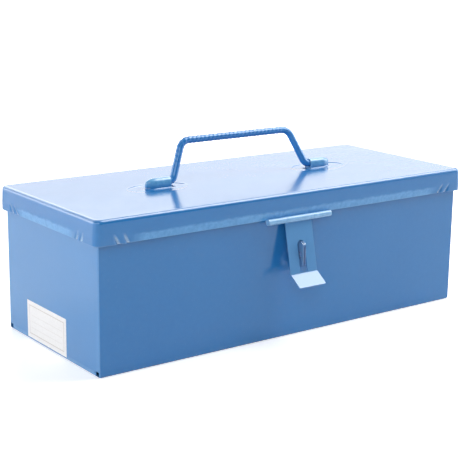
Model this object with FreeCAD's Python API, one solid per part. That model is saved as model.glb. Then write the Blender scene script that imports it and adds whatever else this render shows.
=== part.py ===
# Small flat-top trunk tool box in folded and pressed sheet steel.
# Origin at the middle of the underside, +X along the box, the hasp on the -Y side, +Z up.
# The hasp hangs just clear of its staple and the carrying handle leans back a little.
import FreeCAD, Part
import math
import os

from FreeCAD import Vector

# Body, folded from one blank
body_length = 350.0
body_depth = 139.5
body_sheet = 0.8
body_corner_radius = 1.2
body_foot_radius = 1.8
hem_width = 6.0
corner_flange_width = 10.0
relief_width = 4.6
relief_height = 3.6

# Lid, pressed as one pan
lid_top_height = 115.5
lid_sheet = 0.8
lid_seat_gap = 0.2
lid_overhang = 3.9
lid_corner_radius = 7.0
lid_edge_radius = 2.6
lid_top_margin = 4.0
skirt_height = 18.5
skirt_flare = 0.5
skirt_turn_in = 0.9
skirt_turn_height = 6.5

# Crimps that take up spare metal beside each lid corner
crimp_first = 19.0
crimp_pitch = 8.0
crimp_half_width = 1.5
crimp_run_out = 5.5
corner_turn_share = 0.12
between_turn_share = 0.3
crest_turn_share = 1.1

# Handle sockets pressed up from the lid
socket_spacing = 162.0
socket_dish_radius = 22.0
socket_dish_depth = 0.5
socket_mouth_reach = 10.5
socket_end_reach = 11.0
socket_nose_depth = 2.2
mouth_cut = 5.0

# Carrying handle
rod_radius = 2.9
rod_clearance = 0.08
pivot_above_lid = 3.8
handle_reach = 30.2
handle_leg_spread = 13.5
handle_foot_gap = 3.8
handle_end_play = 0.8
handle_foot_bend = 6.0
handle_grip_bend = 10.0
handle_lean_angle = 15.0

# Keeper plates that close the sockets from below
keeper_sheet = 0.8
keeper_length = 34.0
keeper_width = 16.0
keeper_corner_radius = 3.0
keeper_pad_clearance = 0.2

# Hinge stock, shared by the hasp and the two rear hinges
hinge_sheet = 0.8
pin_radius = 1.6
pin_clearance = 0.05
knuckle_gap = 0.25
barrel_offset = 5.2
barrel_drop = 1.4
leaf_bend_radius = 1.0
leaf_rise = 13.0
pin_overhang = 0.5

# Hasp
hasp_width = 26.0
hasp_barrel_length = 61.5
hasp_bend_drop = 42.8
hasp_tab_out = 9.2
hasp_tab_drop = 10.0
hasp_tab_radius = 1.4
hasp_corner_radius = 1.0
hasp_slot_width = 7.2
hasp_slot_top_drop = 17.2
hasp_slot_foot_rise = 0.8
hasp_slot_foot_radius = 0.8
hasp_rest_angle = 12.5

# Staple, a folded strip through a slit in the front wall
staple_sheet = 1.2
staple_thickness = 3.0
staple_reach = 13.0
staple_top_drop = 18.1
staple_height = 19.5
staple_top_radius = 4.5
staple_low_radius = 3.5
staple_foot = 7.0
staple_slit_clearance = 0.3
padlock_hole_radius = 3.0
padlock_hole_reach = 8.0
padlock_hole_drop = 28.6

# Rear hinges
rear_hinge_inset = 60.0
rear_hinge_length = 50.0
rear_leaf_drop = 20.0
rear_leaf_knee = 5.5

# Sticker on the left end
sticker_width = 61.0
sticker_height = 29.5
sticker_sheet = 0.15
sticker_bottom = 2.0
sticker_centre = 8.3

# One overrun serves every cut
overrun = 1.0

half_length = body_length / 2
half_depth = body_depth / 2
rim_height = lid_top_height - lid_sheet - lid_seat_gap
skirt_foot_height = lid_top_height - skirt_height
barrel_height = skirt_foot_height - barrel_drop
knuckle_radius = pin_radius + pin_clearance + hinge_sheet
barrel_inner = barrel_offset - knuckle_radius
staple_top = barrel_height - staple_top_drop
staple_bottom = staple_top - staple_height
socket_middle = socket_spacing / 2
socket_mouth = socket_middle - socket_mouth_reach
socket_end = socket_middle + socket_end_reach
pivot_height = lid_top_height + pivot_above_lid
pocket_radius = rod_radius + rod_clearance
socket_radius = pocket_radius + lid_sheet
dish_floor = lid_top_height - socket_dish_depth
keeper_top = dish_floor - lid_sheet


def box(low, high):
    """Block between two opposite corners."""
    size = high - low
    return Part.makeBox(size.x, size.y, size.z, low)


def rod(start, end, radius):
    """Round bar from one point to another."""
    run = end - start
    return Part.makeCylinder(radius, run.Length, start, run)


def mirror_x(shape):
    return shape.mirror(Vector(0, 0, 0), Vector(1, 0, 0))


def mirror_y(shape):
    return shape.mirror(Vector(0, 0, 0), Vector(0, 1, 0))


def fillet(shape, radius, wanted):
    """Round the edges of a shape that a test picks by their middle and direction."""
    picked = []
    for edge in shape.Edges:
        if edge.Degenerated:
            continue
        middle = edge.valueAt((edge.FirstParameter + edge.LastParameter) / 2)
        along = edge.tangentAt((edge.FirstParameter + edge.LastParameter) / 2)
        if wanted(middle, along):
            picked.append(edge)
    return shape.makeFillet(radius, picked)


def rounded_block(half_x, half_y, low, high, radius):
    """Block centred on the Z axis with rounded upright corners."""
    block = box(Vector(-half_x, -half_y, low), Vector(half_x, half_y, high))
    return fillet(block, radius, lambda middle, along: abs(along.z) > 0.9)


def front(across, out, up):
    """Point at a distance across the front, out from the front wall, and above the base."""
    return Vector(across, -half_depth - out, up)


def bent_path(points, radii):
    """Straight runs joined by arcs: lists of (points, left normals), 2 to a run and 3 to an arc."""
    pieces = []
    start = points[0]
    for before, corner, after, radius in zip(points, points[1:], points[2:], radii):
        into = (corner - before).normalize()
        out = (after - corner).normalize()
        turn = math.copysign(1.0, into.x * out.y - into.y * out.x)
        trim = radius * math.tan(into.getAngle(out) / 2)
        first = corner - into * trim
        last = corner + out * trim
        first_normal = Vector(-into.y, into.x, 0)
        last_normal = Vector(-out.y, out.x, 0)
        centre = first + first_normal * (turn * radius)
        toward_corner = (corner - centre).normalize()
        middle = centre + toward_corner * radius
        if (first - start).Length > radius * 1e-6:
            pieces.append(([start, first], [first_normal] * 2))
        pieces.append(([first, middle, last], [first_normal, toward_corner * -turn, last_normal]))
        start = last
    run = (points[-1] - start).normalize()
    normal = Vector(-run.y, run.x, 0)
    pieces.append(([start, points[-1]], [normal, normal]))
    return pieces


def sheet_wire(points, radii, thickness, place):
    """Closed outline of bent sheet whose middle follows the points, put in space by place(x, y)."""
    pieces = bent_path(points, radii)
    sides = []
    for offset in (thickness / 2, -thickness / 2):
        edges = []
        for spots, normals in pieces:
            moved = [spot + normal * offset for spot, normal in zip(spots, normals)]
            put = [place(spot.x, spot.y) for spot in moved]
            if len(put) == 2:
                edges.append(Part.LineSegment(put[0], put[1]).toShape())
            else:
                edges.append(Part.Arc(put[0], put[1], put[2]).toShape())
        sides.append(edges)
    ends = []
    for spot, normal in ((pieces[0][0][0], pieces[0][1][0]), (pieces[-1][0][-1], pieces[-1][1][-1])):
        near = spot + normal * (thickness / 2)
        far = spot - normal * (thickness / 2)
        ends.append(Part.LineSegment(place(near.x, near.y), place(far.x, far.y)).toShape())
    return Part.Wire(Part.__sortEdges__(sides[0] + sides[1] + ends))


def front_strip(points, radii, thickness, low_x, high_x):
    """Bent sheet on the front, drawn as (out, up) points and as wide as two X values."""
    wire = sheet_wire(points, radii, thickness, lambda out, up: front(low_x, out, up))
    return Part.Face(wire).extrude(Vector(high_x - low_x, 0, 0))


def clean(shape):
    """Merge faces that share a surface and keep the plain solid."""
    shape = shape.removeSplitter()
    if len(shape.Solids) == 1:
        return shape.Solids[0]
    return shape


def make_body_tub():
    """Open box folded from one blank, with a hemmed rim and flanges tucked behind the ends."""
    foot_edge = lambda middle, along: abs(middle.z) < body_sheet * 0.1
    outer = rounded_block(half_length, half_depth, 0, rim_height, body_corner_radius)
    outer = fillet(outer, body_foot_radius, foot_edge)
    inner = rounded_block(half_length - body_sheet, half_depth - body_sheet, 0,
                          rim_height + overrun, body_corner_radius - body_sheet)
    inner = fillet(inner, body_foot_radius - body_sheet, foot_edge)
    inner.translate(Vector(0, 0, body_sheet))
    tub = outer.cut(inner)

    # The hem doubles the sheet inwards along the rim
    hem_outer = box(Vector(-half_length, -half_depth, rim_height - hem_width) + Vector(body_sheet, body_sheet, 0) / 2,
                    Vector(half_length, half_depth, rim_height) - Vector(body_sheet, body_sheet, 0) / 2)
    hem_inner = box(Vector(-half_length, -half_depth, 0) + Vector(2, 2, 0) * body_sheet,
                    Vector(half_length, half_depth, rim_height + overrun) - Vector(2, 2, 0) * body_sheet)
    hem = hem_outer.cut(hem_inner)

    # Flanges of the long walls stand behind the end walls
    flanges = []
    for side in (-1, 1):
        flange = box(Vector(-half_length + body_sheet / 2, 0, body_foot_radius + relief_height),
                     Vector(-half_length + 2 * body_sheet, corner_flange_width, rim_height - hem_width / 2))
        flange.translate(Vector(0, half_depth - body_sheet, 0) * side - Vector(0, corner_flange_width, 0) * (side > 0))
        flanges.append(flange)
        flanges.append(mirror_x(flange))
    tub = tub.fuse([hem] + flanges)
    rim_edge = lambda middle, along: middle.z > rim_height - body_sheet * 0.1
    tub = fillet(clean(tub), body_sheet * 0.85, rim_edge)

    # Relief holes where the three folds of each bottom corner meet
    reliefs = []
    for side in (-1, 1):
        for end in (-1, 1):
            relief = box(Vector(-overrun, -relief_width / 2, body_sheet),
                         Vector(2 * body_sheet + overrun, relief_width / 2, body_sheet + relief_height))
            relief.translate(Vector(-half_length if end < 0 else half_length - 2 * body_sheet,
                                    side * (half_depth - body_sheet - relief_width / 2), 0))
            reliefs.append(relief)
    slit_half = staple_thickness / 2 + staple_slit_clearance
    slit = box(front(-slit_half, overrun, staple_bottom - staple_slit_clearance),
               front(slit_half, -body_sheet - overrun, staple_top + staple_slit_clearance))
    return tub.cut(reliefs + [slit])


def edge_wire(place):
    """Section of the lid's edge: flat top, rounded edge, and side flaring down to its widest line."""
    middle = lid_sheet / 2
    shoulder = lid_overhang - skirt_flare - middle
    points = [Vector(shoulder - lid_top_margin, lid_top_height - middle, 0),
              Vector(shoulder, lid_top_height - middle, 0),
              Vector(lid_overhang - middle, skirt_foot_height + skirt_turn_height, 0)]
    return sheet_wire(points, [lid_edge_radius], lid_sheet, place)


def foot_wire(turn_share, place):
    """Section of the skirt below its widest line, turned in by a share of the full turn."""
    top = skirt_foot_height + skirt_turn_height
    turn_in = skirt_turn_in * turn_share
    corners = [(lid_overhang, top), (lid_overhang - turn_in, skirt_foot_height),
               (lid_overhang - lid_sheet - turn_in, skirt_foot_height), (lid_overhang - lid_sheet, top)]
    return Part.makePolygon([place(out, up) for out, up in corners + corners[:1]])


def crimp_sections():
    """Distances from a lid corner, each with the share of the full turn that the foot has there."""
    sections = [(lid_corner_radius, corner_turn_share)]
    for number in range(2):
        crest = crimp_first + number * crimp_pitch
        flank_share = (corner_turn_share, between_turn_share)[number]
        sections.append((crest - crimp_half_width, flank_share))
        sections.append((crest, crest_turn_share))
        sections.append((crest + crimp_half_width, between_turn_share))
    sections.append((crest + crimp_run_out, 1.0))
    return sections


def skirt_side(half_span, place):
    """One straight side of the lid's edge with its crimped foot, put in space by place(along, out, up)."""
    sections = [(distance - half_span, share) for distance, share in crimp_sections()]
    sections += [(-along, share) for along, share in reversed(sections)]
    start = sections[0][0]
    run = place(-start, 0, 0) - place(start, 0, 0)
    edge = Part.Face(edge_wire(lambda out, up: place(start, out, up))).extrude(run)
    wires = [foot_wire(share, lambda out, up, at=along: place(at, out, up)) for along, share in sections]
    return [edge, Part.makeLoft(wires, True, True)]


def skirt_corner():
    """Rounded corner of the lid's edge at -X, -Y, turned about its own upright axis."""
    axis = Vector(lid_corner_radius - half_length - lid_overhang, lid_corner_radius - half_depth - lid_overhang, 0)
    put = lambda out, up: front(axis.x, out, up)
    sections = [edge_wire(put), foot_wire(corner_turn_share, put)]
    return [Part.Face(section).revolve(axis, Vector(0, 0, 1), -90) for section in sections]


def socket_tunnel(radius, low, mouth, end):
    """Upside-down U along the handle's axis."""
    arch = rod(Vector(mouth, 0, pivot_height), Vector(end, 0, pivot_height), radius)
    return arch.fuse(box(Vector(mouth, -radius, low), Vector(end, radius, pivot_height)))


def socket_hump():
    """Outside of the right socket, closed by a rounded end away from its mouth."""
    centre = socket_end - socket_radius
    low = dish_floor - lid_sheet / 2
    tunnel = socket_tunnel(socket_radius, low, socket_mouth, centre)
    foot = rod(Vector(centre, 0, low), Vector(centre, 0, pivot_height), socket_radius)
    nose = Part.makeSphere(socket_radius, Vector(centre, 0, pivot_height))
    return clean(tunnel.fuse([foot, nose]))


def make_lid_pan():
    """Pressed lid: flat top, crimped skirt, and two handle sockets pressed up from round dishes."""
    reach_x = half_length + lid_overhang
    reach_y = half_depth + lid_overhang
    front_side = skirt_side(reach_x, front)
    left_side = skirt_side(reach_y, lambda along, out, up: Vector(-half_length - out, along, up))
    inset = skirt_flare + lid_sheet / 2 + lid_top_margin
    top = rounded_block(reach_x - inset, reach_y - inset, lid_top_height - lid_sheet, lid_top_height,
                        lid_corner_radius - inset)
    pieces = front_side + [mirror_y(piece) for piece in front_side]
    pieces += left_side + [mirror_x(piece) for piece in left_side]
    corner = skirt_corner()
    corner += [mirror_x(piece) for piece in corner]
    pieces += corner + [mirror_y(piece) for piece in corner]
    lid = clean(top.fuse(pieces))

    for side in (-1, 1):
        flip = mirror_x if side < 0 else (lambda shape: shape)
        boss = Part.makeCylinder(socket_dish_radius, lid_sheet, Vector(socket_middle, 0, keeper_top))
        dish = Part.makeCone(socket_dish_radius - socket_dish_depth, socket_dish_radius, socket_dish_depth,
                             Vector(socket_middle, 0, dish_floor))
        hump = socket_hump()
        pocket = socket_tunnel(pocket_radius, keeper_top - overrun, socket_mouth - overrun,
                               socket_end - lid_sheet - socket_nose_depth)
        mouth = box(Vector(socket_mouth - mouth_cut, -pocket_radius, keeper_top - overrun),
                    Vector(socket_mouth + overrun, pocket_radius, lid_top_height + overrun))
        lid = lid.fuse(flip(boss)).cut(flip(dish))
        lid = clean(lid.fuse(flip(hump)))
        lid = lid.cut([flip(pocket), flip(mouth)])
    return clean(lid)


def make_keeper():
    """Plate under the right socket, with a pressed-up pad that the handle's end lies on."""
    low = Vector(-keeper_length / 2, -keeper_width / 2, keeper_top - keeper_sheet)
    plate = box(low, Vector(keeper_length / 2, keeper_width / 2, keeper_top))
    plate = fillet(plate, keeper_corner_radius, lambda centre, along: abs(along.z) > 0.9)
    plate.translate(Vector(socket_middle, 0, 0))
    pad_half = pocket_radius - keeper_pad_clearance
    pad_top = pivot_height - pocket_radius
    pad_start = socket_mouth + keeper_pad_clearance
    pad_end = socket_end - lid_sheet - pocket_radius
    pad = box(Vector(pad_start, -pad_half, keeper_top - keeper_sheet / 2), Vector(pad_end, pad_half, pad_top))
    groove = box(Vector(pad_start + keeper_sheet, keeper_sheet - pad_half, keeper_top - keeper_sheet - overrun),
                 Vector(pad_end - keeper_sheet, pad_half - keeper_sheet, pad_top - keeper_sheet))
    keeper = clean(plate.fuse(pad))
    keeper = fillet(keeper, keeper_sheet / 2, lambda centre, along: centre.z > pad_top - keeper_sheet * 0.1)
    return keeper.cut(groove)


def make_handle_bail():
    """Bar bent round into two legs and a grip, leaning back about its pivot axis."""
    foot = socket_mouth - handle_foot_gap
    grip = foot - handle_leg_spread
    end = socket_end - lid_sheet - socket_nose_depth - handle_end_play
    corners = [Vector(-end, 0, 0), Vector(-foot, 0, 0), Vector(-grip, handle_reach, 0),
               Vector(grip, handle_reach, 0), Vector(foot, 0, 0), Vector(end, 0, 0)]
    bends = [handle_foot_bend, handle_grip_bend, handle_grip_bend, handle_foot_bend]
    pieces = []
    for spots, normals in bent_path(corners, bends):
        put = [Vector(spot.x, 0, spot.y) for spot in spots]
        if len(put) == 2:
            pieces.append(rod(put[0], put[1], rod_radius))
        else:
            bend = Part.Arc(put[0], put[1], put[2]).toShape()
            start = Part.makeCircle(rod_radius, put[0], bend.tangentAt(bend.FirstParameter))
            turn = math.degrees(bend.LastParameter - bend.FirstParameter)
            pieces.append(Part.Face(Part.Wire(start)).revolve(bend.Curve.Center, bend.Curve.Axis, turn))
    bail = clean(pieces[0].fuse(pieces[1:]))
    bail.rotate(Vector(0, 0, 0), Vector(1, 0, 0), -handle_lean_angle)
    bail.translate(Vector(0, 0, pivot_height))
    return bail


def knuckle(low_x, high_x):
    """Rolled tube of the front hinge barrel between two X values."""
    centre_low = front(low_x, barrel_offset, barrel_height)
    centre_high = front(high_x, barrel_offset, barrel_height)
    return rod(centre_low, centre_high, knuckle_radius)


def pin_bore():
    """Hole for the hinge pin, long enough for every leaf."""
    return rod(front(-half_length, barrel_offset, barrel_height),
               front(half_length, barrel_offset, barrel_height), pin_radius + pin_clearance)


def make_lid_leaf(knuckles, half_width, other_knuckles):
    """Leaf behind the skirt: flat plate, joggle under the skirt's foot, and its knuckles."""
    skirt_inside = lid_overhang - skirt_turn_in - lid_sheet
    plate_out = skirt_inside - hinge_sheet / 2
    barrel_out = barrel_inner + hinge_sheet / 2
    points = [Vector(plate_out, skirt_foot_height + leaf_rise, 0),
              Vector(plate_out, skirt_foot_height - hinge_sheet, 0),
              Vector(barrel_out, barrel_height, 0)]
    leaf = front_strip(points, [leaf_bend_radius], hinge_sheet, -half_width, half_width)
    above = skirt_foot_height + knuckle_radius / 3
    for low_x, high_x in other_knuckles:
        leaf = leaf.cut(box(front(low_x, 3 * knuckle_radius + barrel_offset, barrel_height - 2 * knuckle_radius),
                            front(high_x, -overrun, above)))
    leaf = leaf.fuse([knuckle(low_x, high_x) for low_x, high_x in knuckles])
    return clean(leaf).cut(pin_bore())


def make_body_leaf(knuckles, half_width, other_knuckles):
    """Leaf on the wall: flat plate, joggle out to the barrel, and its knuckles."""
    plate_out = hinge_sheet / 2
    barrel_out = barrel_inner + hinge_sheet / 2
    points = [Vector(plate_out, barrel_height - rear_leaf_drop, 0),
              Vector(plate_out, barrel_height - rear_leaf_knee, 0),
              Vector(barrel_out, barrel_height - hinge_sheet, 0),
              Vector(barrel_out, barrel_height, 0)]
    leaf = front_strip(points, [leaf_bend_radius, leaf_bend_radius / 2], hinge_sheet, -half_width, half_width)
    below = barrel_height - knuckle_radius - leaf_bend_radius
    for low_x, high_x in other_knuckles:
        leaf = leaf.cut(box(front(low_x, 3 * knuckle_radius + barrel_offset, below),
                            front(high_x, -overrun, barrel_height + overrun)))
    leaf = leaf.fuse([knuckle(low_x, high_x) for low_x, high_x in knuckles])
    return clean(leaf).cut(pin_bore())


def make_hinge_pin(half_width):
    """Plain pin, standing a little proud of the barrel at both ends."""
    end = half_width + pin_overhang
    return rod(front(-end, barrel_offset, barrel_height), front(end, barrel_offset, barrel_height), pin_radius)


def make_hasp_plate():
    """Slotted hasp plate with a centre knuckle and a finger tab bent outwards at its foot."""
    half = hasp_width / 2
    plate_out = barrel_inner + hinge_sheet / 2
    bend = barrel_height - hasp_bend_drop
    tab_foot = bend - hasp_tab_drop
    points = [Vector(plate_out, barrel_height, 0), Vector(plate_out, bend, 0),
              Vector(plate_out + hasp_tab_out, tab_foot, 0)]
    plate = front_strip(points, [hasp_tab_radius], hinge_sheet, -half, half)
    plate = fillet(plate, hasp_corner_radius, lambda centre, along: (
        centre.z < tab_foot + hinge_sheet and abs(centre.x) > half - overrun / 10 and abs(along.y) > 0.3))
    slot_half = hasp_slot_width / 2
    slot_foot = bend + hasp_slot_foot_rise
    slot_top = barrel_height - hasp_slot_top_drop
    slot = box(front(-slot_half, barrel_offset, slot_foot), front(slot_half, 0, slot_top))
    slot = fillet(slot, slot_half * 0.98, lambda centre, along: (
        abs(along.y) > 0.9 and centre.z > slot_top - hinge_sheet))
    slot = fillet(slot, hasp_slot_foot_radius, lambda centre, along: (
        abs(along.y) > 0.9 and centre.z < slot_foot + hinge_sheet / 10))
    plate = plate.cut(slot)
    plate = clean(plate.fuse(knuckle(-half, half))).cut(pin_bore())
    plate.rotate(front(0, barrel_offset, barrel_height), Vector(1, 0, 0), -hasp_rest_angle)
    return plate


def make_staple():
    """Strip folded double, out through the wall's slit, with its feet spread flat inside."""
    layer = (staple_thickness - staple_sheet) / 2
    root = -body_sheet - staple_sheet / 2
    nose = staple_reach - staple_sheet / 2
    points = [Vector(-staple_foot - layer, root, 0), Vector(-layer, root, 0), Vector(-layer, nose, 0),
              Vector(layer, nose, 0), Vector(layer, root, 0), Vector(staple_foot + layer, root, 0)]
    wire = sheet_wire(points, [staple_sheet * 0.7, layer * 0.98, layer * 0.98, staple_sheet * 0.7],
                      staple_sheet, lambda across, out: front(across, out, staple_bottom))
    strip = Part.Face(wire).extrude(Vector(0, 0, staple_top - staple_bottom))
    span = staple_foot + staple_thickness
    side = box(front(-span, staple_reach, staple_bottom),
               front(span, -body_sheet - staple_sheet, staple_top))
    nose_y = -half_depth - staple_reach
    side = fillet(side, staple_top_radius, lambda centre, along: (
        abs(along.x) > 0.9 and centre.z > staple_top - overrun / 10 and centre.y < nose_y + overrun / 10))
    side = fillet(side, staple_low_radius, lambda centre, along: (
        abs(along.x) > 0.9 and centre.z < staple_bottom + overrun / 10 and centre.y < nose_y + overrun / 10))
    hole_height = barrel_height - padlock_hole_drop
    hole = rod(front(-span, padlock_hole_reach, hole_height),
               front(span, padlock_hole_reach, hole_height), padlock_hole_radius)
    return strip.common(side).cut(hole)


def make_sticker():
    """Thin paper sticker on the left end wall."""
    return box(Vector(-half_length - sticker_sheet, sticker_centre - sticker_width / 2, sticker_bottom),
               Vector(-half_length, sticker_centre + sticker_width / 2, sticker_bottom + sticker_height))


def thirds(half_width):
    """X ranges of a three-knuckle barrel: the middle one, and the two outer ones."""
    inner = half_width / 3
    return [(-inner, inner)], [(-half_width, -inner - knuckle_gap), (inner + knuckle_gap, half_width)]


def main():
    parts = {"body_tub": make_body_tub(), "hasp_staple": make_staple(), "lid_pan": make_lid_pan()}

    # Hasp: its outer knuckles belong to the lid, the middle one to the plate
    half = hasp_barrel_length / 2
    middle = (-hasp_width / 2, hasp_width / 2)
    outer = [(-half, middle[0] - knuckle_gap), (middle[1] + knuckle_gap, half)]
    notch = (middle[0] - knuckle_gap, middle[1] + knuckle_gap)
    parts["hasp_lid_leaf"] = make_lid_leaf(outer, half, [notch])
    parts["hasp_plate"] = make_hasp_plate()
    parts["hasp_pin"] = make_hinge_pin(half)

    # Rear hinges: the same stock turned to the back, middle knuckle on the lid
    rear_half = rear_hinge_length / 2
    lid_knuckles, body_knuckles = thirds(rear_half)
    lid_notches = [(low_x - overrun if low_x < 0 else low_x - knuckle_gap,
                    high_x + knuckle_gap if low_x < 0 else high_x + overrun) for low_x, high_x in body_knuckles]
    body_notches = [(low_x - knuckle_gap, high_x + knuckle_gap) for low_x, high_x in lid_knuckles]
    rear = {"lid_leaf": make_lid_leaf(lid_knuckles, rear_half, lid_notches),
            "body_leaf": make_body_leaf(body_knuckles, rear_half, body_notches),
            "pin": make_hinge_pin(rear_half)}
    for name, shape in rear.items():
        for label, side in (("left", -1), ("right", 1)):
            placed = mirror_y(shape)
            placed.translate(Vector(side * (half_length - rear_hinge_inset), 0, 0))
            parts["rear_hinge_" + name + "_" + label] = placed

    keeper = make_keeper()
    parts["handle_keeper_right"] = keeper
    parts["handle_keeper_left"] = mirror_x(keeper)
    parts["handle_bail"] = make_handle_bail()
    parts["end_sticker"] = make_sticker()

    os.makedirs("parts", exist_ok=True)
    for name, shape in parts.items():
        shape.exportStep("parts/" + name + ".step")
        print(name, len(shape.Solids), shape.isValid(), round(shape.Volume, 1))


main()
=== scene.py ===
# Blue enamelled trunk tool box on a white ground, seen from its left front corner.
import math

import bmesh
import bpy
from mathutils import Matrix, Vector
from mathutils.geometry import delaunay_2d_cdt


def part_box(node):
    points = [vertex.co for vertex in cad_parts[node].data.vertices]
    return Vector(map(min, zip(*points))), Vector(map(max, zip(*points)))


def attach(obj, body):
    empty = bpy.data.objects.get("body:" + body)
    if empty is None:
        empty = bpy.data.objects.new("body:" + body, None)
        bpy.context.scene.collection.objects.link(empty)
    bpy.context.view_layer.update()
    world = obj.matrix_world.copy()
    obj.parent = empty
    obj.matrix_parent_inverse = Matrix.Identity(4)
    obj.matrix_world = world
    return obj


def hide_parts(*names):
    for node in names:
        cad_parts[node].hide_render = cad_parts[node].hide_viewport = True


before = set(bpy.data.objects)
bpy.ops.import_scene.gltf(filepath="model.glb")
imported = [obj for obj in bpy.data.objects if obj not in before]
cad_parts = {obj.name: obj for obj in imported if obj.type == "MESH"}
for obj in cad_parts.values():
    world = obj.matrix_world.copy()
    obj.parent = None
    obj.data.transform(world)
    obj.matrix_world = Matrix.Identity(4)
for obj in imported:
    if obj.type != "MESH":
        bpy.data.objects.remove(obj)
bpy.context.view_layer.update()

MM = 0.001


# Materials

WHITE = (1.0, 1.0, 1.0, 1.0)
NOISE_SPAN = (0.3, 0.7)

# Places of the inputs and of the result on the colour mixing node
COLOUR_MIX_SHARE = 0
COLOUR_MIX_FIRST = 6
COLOUR_MIX_SECOND = 7
COLOUR_MIX_RESULT = 2


class Nodes:
    """Short names for building the nodes of one material, or of the world."""

    def __init__(self, name, world=False):
        self.owner = (bpy.data.worlds if world else bpy.data.materials).new(name)
        self.owner.use_nodes = True
        self.tree = self.owner.node_tree
        self.tree.nodes.clear()
        self.output = self.node("OutputWorld" if world else "OutputMaterial")
        self.coords = self.node("TexCoord").outputs["Generated" if world else "Object"]

    def node(self, kind, values=None, links=None, **settings):
        made = self.tree.nodes.new("ShaderNode" + kind)
        for key, value in settings.items():
            setattr(made, key, value)
        for key, value in (values or {}).items():
            made.inputs[key].default_value = value
        for key, source in (links or {}).items():
            self.tree.links.new(source, made.inputs[key])
        return made

    def noise(self, scale, detail=2.0, rough=0.5):
        return self.node("TexNoise", {"Scale": scale, "Detail": detail, "Roughness": rough},
                         {"Vector": self.coords}).outputs["Fac"]

    def ramp(self, value, low, high, to_low=0.0, to_high=1.0):
        limits = {"From Min": low, "From Max": high, "To Min": to_low, "To Max": to_high}
        return self.node("MapRange", limits, {"Value": value}, clamp=True).outputs["Result"]

    def speckle(self, scale, to_low=0.0, to_high=1.0, detail=2.0, rough=0.5):
        """Noise spread evenly between two values."""
        return self.ramp(self.noise(scale, detail, rough), *NOISE_SPAN, to_low, to_high)

    def mix(self, share, first, second):
        mixer = self.node("Mix", data_type="RGBA")
        self.plug(mixer, {COLOUR_MIX_SHARE: share, COLOUR_MIX_FIRST: first, COLOUR_MIX_SECOND: second})
        return mixer.outputs[COLOUR_MIX_RESULT]

    def math(self, operation, first, second):
        made = self.node("Math", operation=operation)
        self.plug(made, {0: first, 1: second})
        return made.outputs[0]

    def plug(self, made, items):
        """Link the inputs that come from other nodes and set the rest."""
        for index, item in items.items():
            if isinstance(item, bpy.types.NodeSocket):
                self.tree.links.new(item, made.inputs[index])
            else:
                made.inputs[index].default_value = item

    def axes(self):
        """The three coordinates of a point, by name."""
        return self.node("SeparateXYZ", links={"Vector": self.coords}).outputs

    def distance(self, value, middle=0.0):
        """How far a value lies from a middle, on either side."""
        return self.math("ABSOLUTE", self.math("SUBTRACT", value, middle), 0.0)

    def bump(self, height, strength, distance, normal=None):
        links = {"Height": height}
        if normal:
            links["Normal"] = normal
        return self.node("Bump", {"Strength": strength, "Distance": distance}, links).outputs["Normal"]

    def surface(self, shader):
        self.tree.links.new(shader, self.output.inputs["Surface"])
        return self.owner

    def principled(self, values, links):
        return self.surface(self.node("BsdfPrincipled", values, links).outputs[0])

    def blend_shaders(self, share, first, second):
        return self.node("MixShader", links={0: share, 1: first, 2: second}).outputs[0]


def rgba(red, green, blue):
    """Linear colour from screen values out of 255."""
    def linear(value):
        value /= 255
        return value / 12.92 if value <= 0.04045 else ((value + 0.055) / 1.055) ** 2.4
    return (linear(red), linear(green), linear(blue), 1.0)


# Painted highlight on the hem at the foot of the lid's skirt, in metres
HEM_HEIGHT = 0.0056
HEM_FADE = 0.0009
HEM_WOBBLE = 0.0005
HEM_WOBBLE_SCALE = 160.0
HEM_FROM_CORNER = (0.028, 0.040)

# Painted highlights on the humps over the lid's top and on the barrel round the hasp's pin, in metres
HUMP_RISE = (0.0016, 0.0040)
HUMP_HIGHLIGHT_SHARE = 0.6
BARREL_REACH = (0.0026, 0.0034)
BARREL_HIGHLIGHT_SHARE = 0.75
POLISH_RISE = 0.002


def from_edges(mat):
    """How far a point on the lid lies in from its ends, and from its front or back."""
    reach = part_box("lid_pan")[1]
    along = mat.axes()
    from_end = mat.math("SUBTRACT", reach.x, mat.distance(along["X"]))
    from_front = mat.math("SUBTRACT", reach.y, mat.distance(along["Y"]))
    return from_end, from_front


def hem_highlight_share(mat):
    """Share from 0 to 1 of a point on the hem of the lid's skirt, away from the corners, where a highlight is
    painted.
    """
    hem_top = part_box("lid_pan")[0].z + HEM_HEIGHT
    wobble = mat.speckle(HEM_WOBBLE_SCALE, -HEM_WOBBLE, HEM_WOBBLE)
    height = mat.math("ADD", mat.axes()["Z"], wobble)
    low = mat.ramp(height, hem_top - HEM_FADE, hem_top + HEM_FADE, 1.0, 0.0)
    from_corner = mat.ramp(mat.math("MAXIMUM", *from_edges(mat)), *HEM_FROM_CORNER)
    return mat.math("MULTIPLY", low, from_corner)


def hump_highlight_share(mat):
    """Share of a point on the two humps that stand over the lid's flat top, where a highlight is painted."""
    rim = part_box("body_tub")[1].z
    return mat.ramp(mat.axes()["Z"], rim + HUMP_RISE[0], rim + HUMP_RISE[1], 0.0, HUMP_HIGHLIGHT_SHARE)


def barrel_highlight_share(mat):
    """Share of a point on the rolled barrel round the hasp's pin, where a highlight is painted."""
    low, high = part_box("hasp_pin")
    along = mat.axes()
    across = mat.distance(along["Y"], (low.y + high.y) / 2)
    upright = mat.distance(along["Z"], (low.z + high.z) / 2)
    return mat.ramp(mat.math("MAXIMUM", across, upright), *BARREL_REACH, BARREL_HIGHLIGHT_SHARE, 0.0)


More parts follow.
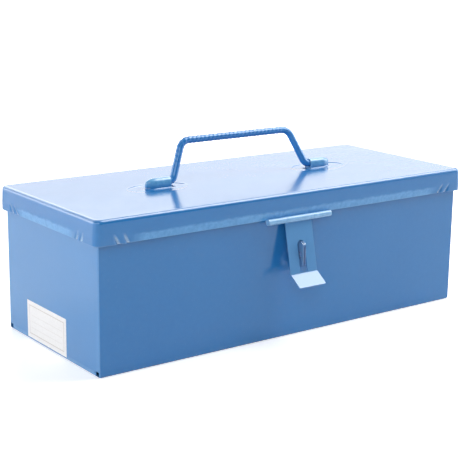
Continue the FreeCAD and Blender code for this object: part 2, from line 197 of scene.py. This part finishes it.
# Enamel: scales of its patterns in waves to the metre, and how strongly each shows
CLOUD_SCALE = 9.0
CLOUD_SPAN = (0.35, 0.65)
CLOUD_SHARE = 0.6
MOTTLE_SCALE = 260.0
# Sharp edges are painted lighter as a highlight
EDGE_POINTINESS = (0.52, 0.60)
EDGE_HIGHLIGHT_SHARE = 0.5
SPECK_SCALE = 900.0
SPECK_SPAN = (0.72, 0.80)
SPECK_SHARE = 0.15
PEBBLE_SCALE = 330.0
PEBBLE_SPAN = (0.35, 0.65)
PEBBLE_SHARE = 0.6
ROUGH_SCALE = 60.0
PEEL_SCALE = 520.0
PEEL_HEIGHT = 0.0004
WAVE_SCALE = 22.0
WAVE_HEIGHT = 0.004
RIPPLE_STRENGTH = 0.10
ENAMEL_INDEX = 1.62
ENAMEL_ROUGHNESS = (0.12, 0.18)


def enamel(name, shades, ripple=1.0, highlight_patches=(), index=ENAMEL_INDEX, top_index=None,
           rough_span=ENAMEL_ROUGHNESS, sheen=WHITE):
    """Glossy baked enamel: slight orange peel, slow waves in the sheet, lighter over sharp edges as a painted
    highlight, and highlight patches painted on.
    """
    body, light, dark = shades
    mat = Nodes(name)
    cloud = mat.ramp(mat.noise(CLOUD_SCALE, 3.0), *CLOUD_SPAN)
    mottle = mat.speckle(MOTTLE_SCALE, detail=3.0, rough=0.6)
    cloud_part = mat.math("MULTIPLY", cloud, CLOUD_SHARE)
    mottle_part = mat.math("MULTIPLY", mottle, 1 - CLOUD_SHARE)
    tone = mat.math("ADD", cloud_part, mottle_part)
    colour = mat.mix(tone, dark, body)
    pointiness = mat.node("NewGeometry").outputs["Pointiness"]
    # Painted highlight: sharp edges drawn lighter
    colour = mat.mix(mat.ramp(pointiness, *EDGE_POINTINESS, 0.0, EDGE_HIGHLIGHT_SHARE), colour, light)
    colour = mat.mix(mat.ramp(mat.noise(SPECK_SCALE, 1.0), *SPECK_SPAN, 0.0, SPECK_SHARE), colour, light)
    # Each patch paints a highlight into the colour
    for share, shade in highlight_patches:
        pebbles = mat.ramp(mat.noise(PEBBLE_SCALE, 3.0, 0.6), *PEBBLE_SPAN, PEBBLE_SHARE, 1.0)
        colour = mat.mix(mat.math("MULTIPLY", share(mat), pebbles), colour, shade)
    rough = mat.speckle(ROUGH_SCALE, *rough_span, 4.0, 0.6)
    peel = mat.bump(mat.noise(PEEL_SCALE, 2.0), RIPPLE_STRENGTH * ripple, PEEL_HEIGHT)
    wave = mat.bump(mat.noise(WAVE_SCALE, 1.0), RIPPLE_STRENGTH * ripple, WAVE_HEIGHT, peel)
    links = {"Base Color": colour, "Roughness": rough, "Normal": wave}
    if top_index:
        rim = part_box("body_tub")[1].z
        links["IOR"] = mat.ramp(mat.axes()["Z"], rim - POLISH_RISE, rim, index, top_index)
    return mat.principled({"IOR": index, "Specular Tint": sheen}, links)


# Shades of each enamel: the plain paint, the light one painted on edges as a highlight and the dark one in
# clouds
BLUE_LIGHT = rgba(120, 170, 215)
BLUES = (rgba(44, 121, 185), BLUE_LIGHT, rgba(39, 115, 180))
# The staple's blues are dark as painted shade
STAPLE_SHADE_BLUES = (rgba(20, 70, 130), BLUE_LIGHT, rgba(14, 56, 112))
HANDLE_BLUES = (rgba(50, 134, 204), rgba(164, 214, 244), rgba(28, 108, 180))
HANDLE_SHEEN = rgba(224, 243, 255)
HANDLE_INDEX = 1.9
HANDLE_ROUGHNESS = (0.20, 0.28)
HANDLE_RIPPLE = 0.6
HEM_HIGHLIGHT_BLUE = rgba(94, 162, 219)
HUMP_HIGHLIGHT_BLUE = rgba(132, 200, 238)
CRIMP_HIGHLIGHT = rgba(196, 224, 248)
BARREL_HIGHLIGHT_BLUE = rgba(150, 198, 236)
LID_INDEX = 1.75
body_enamel = enamel("body_enamel", BLUES)
# The barrel round the hasp's pin gets a painted highlight
hasp_enamel = enamel("hasp_enamel", BLUES, highlight_patches=((barrel_highlight_share, BARREL_HIGHLIGHT_BLUE),))
# The staple is painted dark: a painted shade
staple_shade_enamel = enamel("staple_shade_enamel", STAPLE_SHADE_BLUES)
handle_enamel = enamel("handle_enamel", HANDLE_BLUES, HANDLE_RIPPLE, index=HANDLE_INDEX,
                       rough_span=HANDLE_ROUGHNESS, sheen=HANDLE_SHEEN)


# Sticker, in metres: thin frame, blank rules, and paper
FRAME_INSET = 0.0036
FRAME_LINE = 0.0005
LINE_FADE = 0.0002
RULE_LINE = 0.0004
RULE_INSET = 0.003
RULE_STRENGTH = 0.4
RULE_HEIGHTS = (0.0085, 0.0135, 0.0185)
LINE_GREY = rgba(188, 182, 176)
PAPER_DARK = rgba(229, 228, 228)
PAPER_LIGHT = rgba(238, 237, 237)
FIBRE_SCALE = 700.0
FIBRE_BUMP_SCALE = 900.0
FIBRE_BUMP = (0.08, 0.0002)
PAPER_ROUGH_SCALE = 90.0
PAPER_ROUGHNESS = (0.35, 0.5)


def stripe(mat, value, middle, width):
    """One on a line of the given width across a value, zero off it."""
    return mat.ramp(mat.distance(value, middle), width / 2 - LINE_FADE, width / 2 + LINE_FADE, 1.0, 0.0)


def sticker_material():
    """Coated white paper with a thin grey frame and a few blank rules."""
    mat = Nodes("sticker_paper")
    low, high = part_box("end_sticker")
    along = mat.axes()
    half_wide = (high.y - low.y) / 2 - FRAME_INSET
    half_high = (high.z - low.z) / 2 - FRAME_INSET
    across = mat.distance(along["Y"], (low.y + high.y) / 2)
    upright = mat.distance(along["Z"], (low.z + high.z) / 2)
    inside_wide = mat.ramp(across, half_wide, half_wide + LINE_FADE, 1.0, 0.0)
    inside_high = mat.ramp(upright, half_high, half_high + LINE_FADE, 1.0, 0.0)
    sides = mat.math("MULTIPLY", stripe(mat, across, half_wide, FRAME_LINE), inside_high)
    ends = mat.math("MULTIPLY", stripe(mat, upright, half_high, FRAME_LINE), inside_wide)
    frame_line = mat.math("MAXIMUM", sides, ends)
    rules = 0.0
    for height in RULE_HEIGHTS:
        rules = mat.math("MAXIMUM", rules, stripe(mat, along["Z"], low.z + height, RULE_LINE))
    inner = mat.ramp(across, half_wide - RULE_INSET, half_wide - RULE_INSET + LINE_FADE, 1.0, 0.0)
    rules = mat.math("MULTIPLY", mat.math("MULTIPLY", rules, inner), RULE_STRENGTH)
    colour = mat.mix(mat.speckle(FIBRE_SCALE, detail=3.0), PAPER_DARK, PAPER_LIGHT)
    colour = mat.mix(mat.math("MAXIMUM", frame_line, rules), colour, LINE_GREY)
    rough = mat.speckle(PAPER_ROUGH_SCALE, *PAPER_ROUGHNESS)
    normal = mat.bump(mat.noise(FIBRE_BUMP_SCALE, 2.0), *FIBRE_BUMP)
    return mat.principled({"IOR": 1.45, "Coat Weight": 0.25, "Coat Roughness": 0.2},
                          {"Base Color": colour, "Roughness": rough, "Normal": normal})


sticker_paper = sticker_material()
MATERIALS = {"handle_bail": handle_enamel, "end_sticker": sticker_paper, "hasp_staple": staple_shade_enamel,
             "hasp_lid_leaf": hasp_enamel, "hasp_plate": hasp_enamel, "hasp_pin": hasp_enamel}
for name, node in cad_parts.items():
    material = MATERIALS.get(name, body_enamel)
    node.data.materials.clear()
    node.data.materials.append(material)


# Drawn pieces, in millimetres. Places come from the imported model

def piece(name, verts, faces, body, nodes, material, thickness=0.0):
    """Mesh piece from points in millimetres, thickened inwards where it is sheet."""
    mesh = bpy.data.meshes.new(name)
    mesh.from_pydata([(x * MM, y * MM, z * MM) for x, y, z in verts], [], faces)
    made = bpy.data.objects.new(name, mesh)
    bpy.context.collection.objects.link(made)
    work = bmesh.new()
    work.from_mesh(mesh)
    bmesh.ops.remove_doubles(work, verts=work.verts, dist=WELD * MM)
    bmesh.ops.recalc_face_normals(work, faces=work.faces)
    top = max(work.faces, key=lambda face: face.calc_center_median().z)
    if top.normal.z < 0:
        bmesh.ops.reverse_faces(work, faces=work.faces)
    work.to_mesh(mesh)
    work.free()
    if thickness:
        shell = made.modifiers.new("sheet", "SOLIDIFY")
        shell.thickness = thickness * MM
        shell.offset = -1.0
        shell.use_even_offset = True
        seen = made.evaluated_get(bpy.context.evaluated_depsgraph_get())
        mesh = bpy.data.meshes.new_from_object(seen)
        made.modifiers.clear()
        made.data = mesh
    mesh.shade_smooth()
    mesh.set_sharp_from_angle(angle=math.radians(SHARP_ANGLE))
    mesh.materials.clear()
    mesh.materials.append(material)
    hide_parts(*nodes)
    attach(made, body)
    return made


def grid(verts, faces, rows, closed=False):
    """Quads between rows of points of one length, added to a shared list."""
    start = len(verts)
    width = len(rows[0])
    for row in rows:
        verts.extend(row)
    for upper in range(len(rows) - 1):
        for across in range(width if closed else width - 1):
            first = start + upper * width + across
            beside = start + upper * width + (across + 1) % width
            faces.append((first, beside, beside + width, first + width))


def smooth_step(value):
    """Soft step from 0 to 1."""
    value = min(max(value, 0.0), 1.0)
    return value * value * (3 - 2 * value)


def spread(start, end, count):
    """Evenly spaced values, both ends included."""
    return [start + (end - start) * step / count for step in range(count + 1)]


WELD = 0.01
SHARP_ANGLE = 38.0

# Lid: sheet, seat and rounding as in the pressed lid; reach and heights from the imported model
lid_low, lid_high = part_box("lid_pan")
REACH_X = lid_high.x / MM
REACH_Y = lid_high.y / MM
SKIRT_FOOT = lid_low.z / MM
LID_SHEET = 0.8
SEAT_GAP = 0.2
LID_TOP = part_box("body_tub")[1].z / MM + SEAT_GAP + LID_SHEET
EDGE_RADIUS = 3.0
SKIRT_FLARE = 0.5
TURN_HEIGHT = 5.4
TURN_IN = 0.9
CORNER_RADIUS = 5.4
FLAT_INSET = 4.6
FLAT_STEP = 0.6

# Crimps near the corners: distance of each from the corner at the foot, on the front and on the ends
FRONT_CRIMPS = (18.8, 26.6)
END_CRIMPS = (21.6, 28.6)
CRIMP_HEIGHT = 8.0
CRIMP_SLANT = 4.6
CRIMP_DEPTH = 1.7
CRIMP_WIDTH = 1.5
CRIMP_NARROWING = 0.45
CRIMP_STEEPNESS = 1.15
CRIMP_ZONE = 38.0
CRIMP_STEP = 0.7
TURN_CURVE = 1.1
CORNER_TURN = 0.12
TURN_START = 24.0
TURN_END = 36.0

# Handle sockets
SOCKET_MIDDLE = 81.0
DISH_LENGTH = 26.0
DISH_WIDTH = 15.0
DISH_DEPTH = 0.5
DISH_ROLL = 0.9
DISH_MARGIN = 2.0
DISH_RING_SHARES = (0.35, 0.7)
SOCKET_MOUTH = 70.5
SOCKET_END = 92.0
NOSE_LENGTH = 9.0
MOUTH_CUT = 5.0
POCKET_RADIUS = 2.98
SOCKET_RADIUS = POCKET_RADIUS + LID_SHEET
HUMP_FOOT_RADIUS = 1.3
PIVOT = lid_high.z / MM - SOCKET_RADIUS


def skirt_inset(distance, level, crimps):
    """Inset of the skirt's face at a height, and at a distance from the corner."""
    turn_top = SKIRT_FOOT + TURN_HEIGHT
    inset = SKIRT_FLARE * max(0.0, level - turn_top) / (LID_TOP - EDGE_RADIUS - turn_top)
    along = smooth_step((distance - TURN_START) / (TURN_END - TURN_START))
    turned = CORNER_TURN + (1 - CORNER_TURN) * along
    inset += TURN_IN * turned * max(0.0, 1 - (level - SKIRT_FOOT) / TURN_HEIGHT) ** TURN_CURVE
    fall = max(0.0, 1 - (level - SKIRT_FOOT) / CRIMP_HEIGHT)
    for crimp in crimps:
        middle = crimp - CRIMP_SLANT * (1 - fall)
        width = CRIMP_WIDTH * (1 - CRIMP_NARROWING * (1 - fall))
        depth = CRIMP_DEPTH * smooth_step(fall * CRIMP_STEEPNESS)
        inset += depth * math.exp(-((distance - middle) / width) ** 2)
    return inset


def skirt_stations():
    """Places round the lid: outline point, outward direction, distance from the corner, crimps."""
    fine = int((CRIMP_ZONE - CORNER_RADIUS) / CRIMP_STEP)
    stations = []
    for side in range(4):
        long_side = side % 2 == 0
        half_span, half_out = (REACH_X, REACH_Y) if long_side else (REACH_Y, REACH_X)
        crimps = FRONT_CRIMPS if long_side else END_CRIMPS
        turn = side * math.pi / 2
        along = Vector((math.cos(turn), math.sin(turn)))
        out = Vector((math.sin(turn), -math.cos(turn)))
        near = spread(CORNER_RADIUS, CRIMP_ZONE, fine)
        middle = spread(CRIMP_ZONE, 2 * half_span - CRIMP_ZONE, 24 if long_side else 8)[1:-1]
        far = [2 * half_span - distance for distance in reversed(near)]
        for distance in near + middle + far:
            spot = along * (distance - half_span) + out * half_out
            stations.append((spot, out, min(distance, 2 * half_span - distance), crimps))
        centre = along * (half_span - CORNER_RADIUS) + out * (half_out - CORNER_RADIUS)
        for angle in spread(0, math.pi / 2, 12)[1:-1]:
            toward = out * math.cos(angle) + along * math.sin(angle)
            stations.append((centre + toward * CORNER_RADIUS, toward, CORNER_RADIUS, crimps))
    return stations


def skirt_rows(stations):
    """Rows of points from the flat top, over the rounded edge and down to the foot."""
    rows = []

    def row(place):
        line = []
        for spot, out, distance, crimps in stations:
            inset, height = place(distance, crimps)
            line.append((spot.x - out.x * inset, spot.y - out.y * inset, height))
        rows.append(line)

    shoulder = SKIRT_FLARE + EDGE_RADIUS
    row(lambda distance, crimps: (FLAT_INSET, LID_TOP))
    row(lambda distance, crimps: (shoulder + FLAT_STEP, LID_TOP))
    for angle in spread(math.pi / 2, 0, 10):
        level = LID_TOP - EDGE_RADIUS * (1 - math.sin(angle))
        row(lambda distance, crimps: (shoulder - EDGE_RADIUS * math.cos(angle), level))
    crimp_top = SKIRT_FOOT + CRIMP_HEIGHT
    for level in spread(LID_TOP - EDGE_RADIUS, crimp_top, 3)[1:-1] + spread(crimp_top, SKIRT_FOOT, 14):
        row(lambda distance, crimps: (skirt_inset(distance, level, crimps), level))
    return rows


def hump_outline(reach, foot, level, side):
    """Open line round the hump from one mouth corner over the nose to the other."""
    half = SOCKET_RADIUS * reach + foot
    nose = NOSE_LENGTH * reach + foot
    start = SOCKET_END - NOSE_LENGTH
    line = [(x, -half) for x in spread(SOCKET_MOUTH, start, 12)[:-1]]
    line += [(start + nose * math.cos(angle), half * math.sin(angle))
             for angle in spread(-math.pi / 2, math.pi / 2, 22)]
    line += [(x, half) for x in spread(start, SOCKET_MOUTH, 12)[1:]]
    return [(side * x, y, level) for x, y in line]


def socket_pieces(verts, faces, side):
    """Dish, cut and hump of one handle socket; returns the oval where the dish meets the flat top."""
    floor_level = LID_TOP - DISH_DEPTH
    humps = []
    for angle in spread(0, math.pi / 2, 5):
        humps.append(hump_outline(1.0, HUMP_FOOT_RADIUS * (1 - math.sin(angle)),
                                  floor_level + HUMP_FOOT_RADIUS * (1 - math.cos(angle)), side))
    for level in spread(floor_level + HUMP_FOOT_RADIUS, PIVOT, 3)[1:-1]:
        humps.append(hump_outline(1.0, 0, level, side))
    for angle in spread(0, math.pi / 2, 11):
        humps.append(hump_outline(math.cos(angle), 0, PIVOT + SOCKET_RADIUS * math.sin(angle), side))
    grid(verts, faces, humps)

    cut_end = SOCKET_MOUTH - MOUTH_CUT
    cut = [(cut_end, y) for y in spread(POCKET_RADIUS, 0, 3)[:-1]]
    cut += [(cut_end, y) for y in spread(0, -POCKET_RADIUS, 3)[:-1]]
    cut += [(x, -POCKET_RADIUS) for x in spread(cut_end, SOCKET_MOUTH, 4)]
    inner = [(side * x, y, floor_level) for x, y in cut] + humps[0]
    inner += [(side * x, POCKET_RADIUS, floor_level) for x in spread(SOCKET_MOUTH, cut_end, 4)[:-1]]
    centre = side * SOCKET_MIDDLE
    turns = [math.atan2(y / DISH_WIDTH, (x - centre) / DISH_LENGTH) for x, y, z in inner]

    def oval(growth, level):
        half_long, half_wide = DISH_LENGTH + growth, DISH_WIDTH + growth
        return [(centre + half_long * math.cos(turn), half_wide * math.sin(turn), level) for turn in turns]

    rings = [inner]
    for share in DISH_RING_SHARES:
        rings.append([(x + (far_x - x) * share, y + (far_y - y) * share, floor_level)
                      for (x, y, z), (far_x, far_y, far_z) in zip(inner, oval(-DISH_ROLL, floor_level))])
    for share in spread(0, 1, 6):
        rings.append(oval(DISH_ROLL * (share - 1), floor_level + DISH_DEPTH * smooth_step(share)))
    rings.append(oval(DISH_MARGIN, LID_TOP))
    grid(verts, faces, rings, closed=True)
    return rings[-1]


# Painted highlight streak in each crimp, in metres: how far in from the skirt's face it reaches, its shift
# and half width
CRIMP_REACH = (0.004, 0.005)
STREAK_SHIFT = 0.0003
STREAK_HALF = (0.0004, 0.0015)


def crimp_highlight_share(mat):
    """Share of a point in the trough of a crimp, where a gleaming streak is painted as a highlight."""
    height = mat.axes()["Z"]
    from_end, from_front = from_edges(mat)
    crimp_top = lid_low.z + CRIMP_HEIGHT * MM
    slant = mat.ramp(height, lid_low.z, crimp_top, 0.0, CRIMP_SLANT * MM)
    fading = mat.ramp(height, lid_low.z, crimp_top, 1.0, 0.0)
    share = 0.0
    for crimps, along, inward in ((FRONT_CRIMPS, from_end, from_front), (END_CRIMPS, from_front, from_end)):
        on_side = mat.ramp(inward, *CRIMP_REACH, 1.0, 0.0)
        straight = mat.math("ADD", along, slant)
        for crimp in crimps:
            off = mat.distance(straight, crimp * MM + STREAK_SHIFT)
            streak = mat.ramp(off, *STREAK_HALF, 1.0, 0.0)
            share = mat.math("MAXIMUM", share, mat.math("MULTIPLY", streak, on_side))
    return mat.math("MULTIPLY", share, fading)


# How the flat top is divided into triangles: only within the outline, welding spots this near
INSIDE_OUTLINE = 1
SAME_SPOT = 1e-4
OVAL_SLACK = 0.995


def draw_lid():
    """Pressed lid with crimped skirt and two handle sockets."""
    verts, faces = [], []
    rows = skirt_rows(skirt_stations())
    grid(verts, faces, rows, closed=True)
    loops = [rows[0]] + [socket_pieces(verts, faces, side) for side in (-1, 1)]
    spots, edges = [], []
    for loop in loops:
        first = len(spots)
        spots.extend(Vector((x, y)) for x, y, z in loop)
        edges.extend((first + step, first + (step + 1) % len(loop)) for step in range(len(loop)))
    divided = delaunay_2d_cdt(spots, edges, [], INSIDE_OUTLINE, SAME_SPOT)
    flat, triangles = divided[0], divided[2]
    start = len(verts)
    verts.extend((spot.x, spot.y, LID_TOP) for spot in flat)
    for corners in triangles:
        middle = sum((flat[corner] for corner in corners), Vector((0, 0))) / 3
        across = (abs(middle.x) - SOCKET_MIDDLE) / (DISH_LENGTH + DISH_MARGIN)
        if across ** 2 + (middle.y / (DISH_WIDTH + DISH_MARGIN)) ** 2 > OVAL_SLACK:
            faces.append(tuple(start + corner for corner in corners))
    return piece("lid_shell", verts, faces, "lid", ["lid_pan"], lid_enamel, LID_SHEET)


# Handle: bent bar with slanted ribs
ROD_RADIUS = 2.9
HANDLE_REACH = 30.2
HANDLE_FOOT = 66.7
HANDLE_GRIP = 53.2
HANDLE_END = 84.4
FOOT_BEND = 6.0
GRIP_BEND = 10.0
HANDLE_LEAN = 15.0
RIB_PITCH = 4.0
RIB_STARTS = 2
RIB_HEIGHT = 0.24
RIB_CURVE = 1.3
LEG_RIB_SHARE = 0.45
LEG_RIB_START = 6.0
LEG_RIB_FADE = 6.0
GRIP_RIB_DROP = 5.0
GRIP_RIB_FADE = 4.0
BAR_STEP = 0.4
BAR_SIDES = 32
END_CHAMFER = 0.6


def bar_line():
    """Points along the bar's middle with their in-plane normals: straight runs and round bends."""
    half = [(HANDLE_GRIP, HANDLE_REACH), (HANDLE_FOOT, 0), (HANDLE_END, 0)]
    corners = [Vector((-x, y)) for x, y in reversed(half)] + [Vector(spot) for spot in half]
    bends = (FOOT_BEND, GRIP_BEND, GRIP_BEND, FOOT_BEND)
    line = []
    start = corners[0]
    for before, corner, after, radius in zip(corners, corners[1:], corners[2:], bends):
        into = (corner - before).normalized()
        out = (after - corner).normalized()
        turn = math.atan2(into.x * out.y - into.y * out.x, into.dot(out))
        first = corner - into * radius * math.tan(abs(turn) / 2)
        side = math.copysign(1.0, turn)
        centre = first + Vector((-into.y, into.x)) * radius * side
        run = (first - start).length
        for share in spread(0, 1, max(1, int(run / BAR_STEP)))[:-1]:
            line.append((start.lerp(first, share), Vector((-into.y, into.x))))
        for angle in spread(0, turn, int(radius * abs(turn) / BAR_STEP))[:-1]:
            heading = Vector((into.x * math.cos(angle) - into.y * math.sin(angle),
                              into.x * math.sin(angle) + into.y * math.cos(angle)))
            normal = Vector((-heading.y, heading.x))
            line.append((centre - normal * radius * side, normal))
        start = corner + out * radius * math.tan(abs(turn) / 2)
    last = (corners[-1] - corners[-2]).normalized()
    for share in spread(0, 1, int((corners[-1] - start).length / BAR_STEP)):
        line.append((start.lerp(corners[-1], share), Vector((-last.y, last.x))))
    return line


def draw_handle():
    """Ribbed bar, leaning back about its pivot."""
    lean = math.radians(HANDLE_LEAN)
    rows = []
    travelled = 0.0
    before = None
    for spot, normal in bar_line():
        if before is not None:
            travelled += (spot - before).length
        before = spot
        ribbed = smooth_step((spot.y - LEG_RIB_START) / LEG_RIB_FADE) * LEG_RIB_SHARE
        ribbed += smooth_step((spot.y - HANDLE_REACH + GRIP_RIB_DROP) / GRIP_RIB_FADE) * (1 - LEG_RIB_SHARE)
        row = []
        for side in range(BAR_SIDES):
            angle = 2 * math.pi * side / BAR_SIDES
            wave = math.cos(2 * math.pi * travelled / RIB_PITCH - RIB_STARTS * angle)
            radius = ROD_RADIUS - RIB_HEIGHT * ribbed * (0.5 - 0.5 * wave) ** RIB_CURVE
            radius -= END_CHAMFER * smooth_step((abs(spot.x) - HANDLE_END + END_CHAMFER) / END_CHAMFER)
            up = spot.y + normal.y * radius * math.cos(angle)
            across = spot.x + normal.x * radius * math.cos(angle)
            back = radius * math.sin(angle)
            row.append((across, up * math.sin(lean) + back * math.cos(lean),
                        PIVOT + up * math.cos(lean) - back * math.sin(lean)))
        rows.append(row)
    verts, faces = [], []
    grid(verts, faces, rows, closed=True)
    faces.append(tuple(range(BAR_SIDES)))
    faces.append(tuple(reversed(range(len(verts) - BAR_SIDES, len(verts)))))
    return piece("ribbed_handle", verts, faces, "handle", ["handle_bail"],
                 handle_enamel)


# Painted highlights on the lid: the hem, the humps and the crimps
LID_HIGHLIGHTS = ((hem_highlight_share, HEM_HIGHLIGHT_BLUE), (hump_highlight_share, HUMP_HIGHLIGHT_BLUE), (crimp_highlight_share, CRIMP_HIGHLIGHT))
lid_enamel = enamel("lid_enamel", BLUES, highlight_patches=LID_HIGHLIGHTS, top_index=LID_INDEX)
draw_lid()
draw_handle()


# Floor, studio light and camera

# Ground: plain pale surface that also glows to the camera, more so far away
GROUND_SIZE = 12.0
GROUND_GRAIN_SCALE = 40.0
GROUND_GREY = (0.86, 0.90)
GROUND_ROUGHNESS = 0.45
GROUND_INDEX = 1.4
FLOOR_GLOW = 0.4
MIRRORED_GLOW = 0.3
GLOW_DISTANCE = (0.5, 1.2)

# Backdrop: dim light of the room, and the side from which reflections are dark
ROOM_COLOUR = (0.93, 0.96, 1.0, 1.0)
ROOM_LIGHT = 0.1
NEAR_SIDE = (-0.594, -0.804, 0.0)
DARK_FROM_TO = (-0.1, 0.35)


def mirrored_ray(mat):
    """One where a ray comes off metal or through glass, so that these show the ground too."""
    path = mat.node("LightPath")
    return mat.math("MAXIMUM", path.outputs["Is Glossy Ray"], path.outputs["Is Transmission Ray"])


def camera_ray(mat):
    """One where a ray comes straight from the camera."""
    return mat.node("LightPath").outputs["Is Camera Ray"]


def floor_material():
    """Pale matt ground that keeps the object's shadow."""
    mat = Nodes("white_ground")
    grain = mat.speckle(GROUND_GRAIN_SCALE, *GROUND_GREY)
    colour = mat.node("CombineColor", links={"Red": grain, "Green": grain, "Blue": grain}).outputs[0]
    finish = {"Roughness": GROUND_ROUGHNESS, "IOR": GROUND_INDEX}
    ground = mat.node("BsdfPrincipled", finish, {"Base Color": colour}).outputs[0]
    mirrored = mat.math("MULTIPLY", mirrored_ray(mat), MIRRORED_GLOW)
    seen = mat.math("MAXIMUM", camera_ray(mat), mirrored)
    away = mat.node("VectorMath", links={0: mat.coords}, operation="LENGTH").outputs["Value"]
    strength = mat.ramp(away, *GLOW_DISTANCE, FLOOR_GLOW, 1.0)
    glow = mat.node("Emission", links={"Strength": mat.math("MULTIPLY", seen, strength)}).outputs[0]
    added = mat.node("AddShader", links={0: ground, 1: glow})
    return mat.surface(added.outputs[0])


def studio_world():
    """White backdrop; its reflection is white behind the object and dark toward the near side."""
    mat = Nodes("studio", world=True)
    room = mat.node("Background", {"Color": ROOM_COLOUR, "Strength": ROOM_LIGHT}).outputs[0]
    white = mat.node("Background", {"Strength": 1.0, "Color": WHITE}).outputs[0]
    dark = mat.node("Background", {"Strength": 0.0}).outputs[0]
    toward = mat.node("VectorMath", {1: NEAR_SIDE}, {0: mat.coords}, operation="DOT_PRODUCT")
    backdrop = mat.blend_shaders(mat.ramp(toward.outputs["Value"], *DARK_FROM_TO), white, dark)
    lit = mat.blend_shaders(mirrored_ray(mat), room, backdrop)
    return mat.surface(mat.blend_shaders(camera_ray(mat), lit, white))


bpy.ops.mesh.primitive_plane_add(size=GROUND_SIZE, location=(0, 0, 0))
floor = bpy.context.object
floor.name = "ground"
floor.data.materials.append(floor_material())
bpy.context.scene.world = studio_world()


def softbox(name, place, aim, width, height, power):
    """Area lamp facing a point, hidden from the camera."""
    lamp = bpy.data.lights.new(name, "AREA")
    lamp.shape = "RECTANGLE"
    lamp.size = width
    lamp.size_y = height
    lamp.energy = power
    lamp_object = bpy.data.objects.new(name, lamp)
    bpy.context.collection.objects.link(lamp_object)
    lamp_object.location = place
    toward = Vector(aim) - Vector(place)
    lamp_object.rotation_euler = toward.to_track_quat("-Z", "Y").to_euler()
    lamp_object.visible_camera = False
    return lamp_object


# Lamps: name, place, aim, width and height in metres, power in watts
AIM = (0, 0, 0.06)
LID_AIM = (0, 0, 0.1)
LAMPS = (("key", (0.93, -0.21, 1.34), AIM, 1.1, 0.8, 18),
         ("right", (1.7, -0.4, 0.7), AIM, 1.0, 1.0, 13.5),
         ("front_left", (-0.9, -1.2, 1.0), AIM, 1.0, 1.0, 9.6),
         ("left", (-1.6, -0.1, 0.6), AIM, 1.0, 1.0, 9.9),
         ("back_left", (-1.3, 1.3, 0.5), AIM, 1.2, 0.9, 11),
         ("back", (0.6, 1.7, 0.5), LID_AIM, 2.4, 1.0, 5.2),
         ("back_high", (0.6, 1.6, 0.95), LID_AIM, 2.4, 0.6, 11))
for lamp in LAMPS:
    softbox(*lamp)

# Camera
CAMERA_AZIMUTH = math.radians(36.47)
CAMERA_ELEVATION = math.radians(13.79)
CAMERA_DISTANCE = 0.9916
CAMERA_TARGET = Vector((-0.0107, 0.0, 0.0720))
CAMERA_ROLL = math.radians(0.75)
FOCAL_PIXELS = 1217.4
FRAME_PIXELS = 460
SENSOR_WIDTH = 36.0

ahead = Vector((math.sin(CAMERA_AZIMUTH) * math.cos(CAMERA_ELEVATION),
                math.cos(CAMERA_AZIMUTH) * math.cos(CAMERA_ELEVATION), -math.sin(CAMERA_ELEVATION)))
level_right = ahead.cross(Vector((0, 0, 1))).normalized()
level_up = level_right.cross(ahead)
right = math.cos(CAMERA_ROLL) * level_right + math.sin(CAMERA_ROLL) * level_up
up = math.cos(CAMERA_ROLL) * level_up - math.sin(CAMERA_ROLL) * level_right
lens = bpy.data.cameras.new("camera")
lens.sensor_width = SENSOR_WIDTH
lens.lens = FOCAL_PIXELS / FRAME_PIXELS * SENSOR_WIDTH
camera = bpy.data.objects.new("camera", lens)
bpy.context.collection.objects.link(camera)
place = CAMERA_TARGET - ahead * CAMERA_DISTANCE
camera.matrix_world = Matrix(((right.x, up.x, -ahead.x, place.x), (right.y, up.y, -ahead.y, place.y),
                              (right.z, up.z, -ahead.z, place.z), (0, 0, 0, 1)))
bpy.context.scene.camera = camera
bpy.context.scene.view_settings.view_transform = "Standard"
